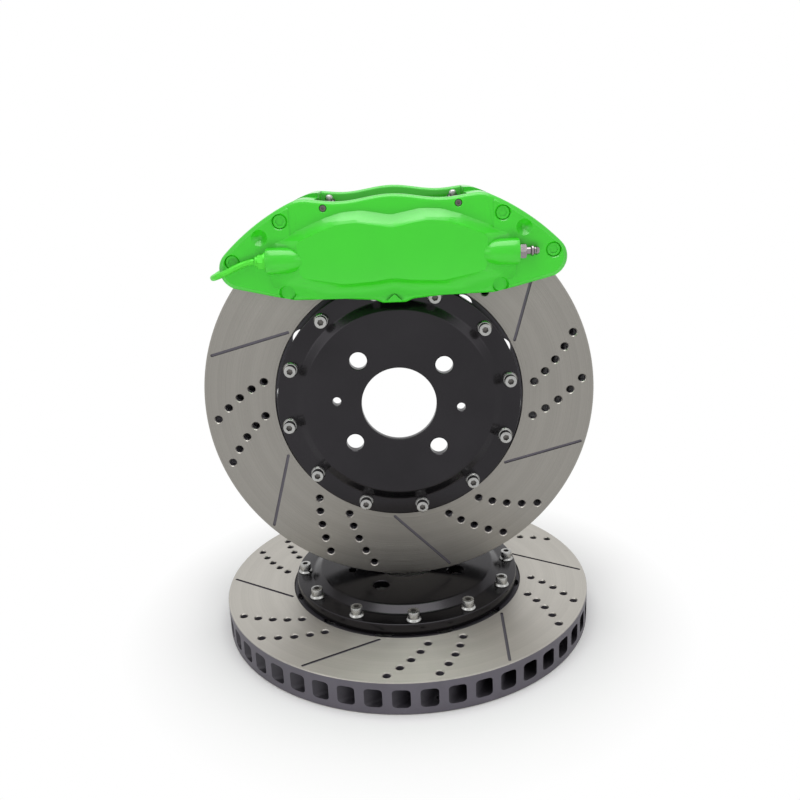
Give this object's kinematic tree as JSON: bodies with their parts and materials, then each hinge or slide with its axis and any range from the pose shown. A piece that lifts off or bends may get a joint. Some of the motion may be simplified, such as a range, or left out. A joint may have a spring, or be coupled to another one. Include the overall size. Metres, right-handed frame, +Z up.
{
  "type": "brake caliper with disc",
  "caption": "Green fixed brake caliper gripping an upright vented, drilled and slotted disc with a bolted black bell, standing on a matching disc laid flat.",
  "frame": {"origin": "middle of the flat disc's lower face, on the floor", "axes": "+Z up along the flat disc's axis, -Y along the upright disc's axis towards its outer face, +X to the right seen from that face"},
  "size_m": [0.3298, 0.3298, 0.3833],
  "materials": {
    "machined_iron": "machined, satin",
    "black_anodised": "black anodised",
    "zinc_steel": "zinc plated",
    "green_enamel": "gloss enamel",
    "black_steel_plate": "satin black",
    "pad_lining": "rough compound",
    "bare_piston": "ground",
    "black_rubber": "matte",
    "bright_steel": "bright"
  },
  "bodies": {
    "spare_disc": {"spare_ring": "machined_iron", "spare_bell": "black_anodised", "spare_screw_01": "zinc_steel", "spare_screw_02": "zinc_steel", "spare_screw_03": "zinc_steel", "spare_screw_04": "zinc_steel", "spare_screw_05": "zinc_steel", "spare_screw_06": "zinc_steel", "spare_screw_07": "zinc_steel", "spare_screw_08": "zinc_steel", "spare_screw_09": "zinc_steel", "spare_screw_10": "zinc_steel", "spare_screw_11": "zinc_steel", "spare_screw_12": "zinc_steel"},
    "caliper": {"caliper_outer_half": "green_enamel", "caliper_inner_half": "green_enamel", "bridge_bolt_left_upper": "green_enamel", "bridge_bolt_left_lower": "green_enamel", "bridge_bolt_right_upper": "green_enamel", "bridge_bolt_right_lower": "green_enamel", "piston_seal_outer_left": "black_rubber", "piston_seal_outer_right": "black_rubber", "piston_seal_inner_left": "black_rubber", "piston_seal_inner_right": "black_rubber", "dust_boot_outer_left": "black_rubber", "dust_boot_outer_right": "black_rubber", "dust_boot_inner_left": "black_rubber", "dust_boot_inner_right": "black_rubber", "pad_pin_left": "bright_steel", "pad_pin_right": "bright_steel", "crossover_pipe": "green_enamel", "pipe_union_outer": "green_enamel", "pipe_union_inner": "green_enamel"},
    "disc": {"disc_ring": "machined_iron", "disc_bell": "black_anodised", "disc_screw_01": "zinc_steel", "disc_screw_02": "zinc_steel", "disc_screw_03": "zinc_steel", "disc_screw_04": "zinc_steel", "disc_screw_05": "zinc_steel", "disc_screw_06": "zinc_steel", "disc_screw_07": "zinc_steel", "disc_screw_08": "zinc_steel", "disc_screw_09": "zinc_steel", "disc_screw_10": "zinc_steel", "disc_screw_11": "zinc_steel", "disc_screw_12": "zinc_steel"},
    "pad_outer": {"pad_plate_outer": "black_steel_plate", "pad_lining_outer": "pad_lining"},
    "pad_inner": {"pad_plate_inner": "black_steel_plate", "pad_lining_inner": "pad_lining"},
    "piston_outer_left": {"piston_outer_left": "bare_piston"},
    "piston_outer_right": {"piston_outer_right": "bare_piston"},
    "piston_inner_left": {"piston_inner_left": "bare_piston"},
    "piston_inner_right": {"piston_inner_right": "bare_piston"},
    "bleed_screw_outer": {"bleed_screw_outer": "bright_steel"},
    "bleed_screw_inner": {"bleed_screw_inner": "bright_steel"}
  },
  "joints": [
    {"name": "lift_off", "type": "slide", "parent": "spare_disc", "child": "caliper", "axis": [0, 0, 1], "range_m": [0, 0.06]},
    {"name": "disc_spin", "type": "hinge", "parent": "caliper", "child": "disc", "pos_m": [0, -0.01, 0.20759], "axis": [0, -1, 0], "continuous": true},
    {"name": "pad_outer_slide", "type": "slide", "parent": "caliper", "child": "pad_outer", "axis": [0, -1, 0], "range_m": [0, 0.0012]},
    {"name": "pad_inner_slide", "type": "slide", "parent": "caliper", "child": "pad_inner", "axis": [0, 1, 0], "range_m": [0, 0.0012]},
    {"name": "piston_outer_left_slide", "type": "slide", "parent": "caliper", "child": "piston_outer_left", "axis": [0, -1, 0], "range_m": [0, 0.0012]},
    {"name": "piston_outer_right_slide", "type": "slide", "parent": "caliper", "child": "piston_outer_right", "axis": [0, -1, 0], "range_m": [0, 0.0012]},
    {"name": "piston_inner_left_slide", "type": "slide", "parent": "caliper", "child": "piston_inner_left", "axis": [0, 1, 0], "range_m": [0, 0.0012]},
    {"name": "piston_inner_right_slide", "type": "slide", "parent": "caliper", "child": "piston_inner_right", "axis": [0, 1, 0], "range_m": [0, 0.0012]},
    {"name": "bleed_outer_turn", "type": "hinge", "parent": "caliper", "child": "bleed_screw_outer", "pos_m": [0.095, -0.0592, 0.33209], "axis": [1, 0, 0], "range_deg": [0, 90]},
    {"name": "bleed_inner_turn", "type": "hinge", "parent": "caliper", "child": "bleed_screw_inner", "pos_m": [0.095, 0.0392, 0.33209], "axis": [1, 0, 0], "range_deg": [0, 90]}
  ],
  "couplings": [
    {"joint": "pad_inner_slide", "follows": "pad_outer_slide", "ratio": 1},
    {"joint": "piston_outer_left_slide", "follows": "pad_outer_slide", "ratio": 1},
    {"joint": "piston_outer_right_slide", "follows": "pad_outer_slide", "ratio": 1},
    {"joint": "piston_inner_left_slide", "follows": "pad_outer_slide", "ratio": 1},
    {"joint": "piston_inner_right_slide", "follows": "pad_outer_slide", "ratio": 1}
  ]
}
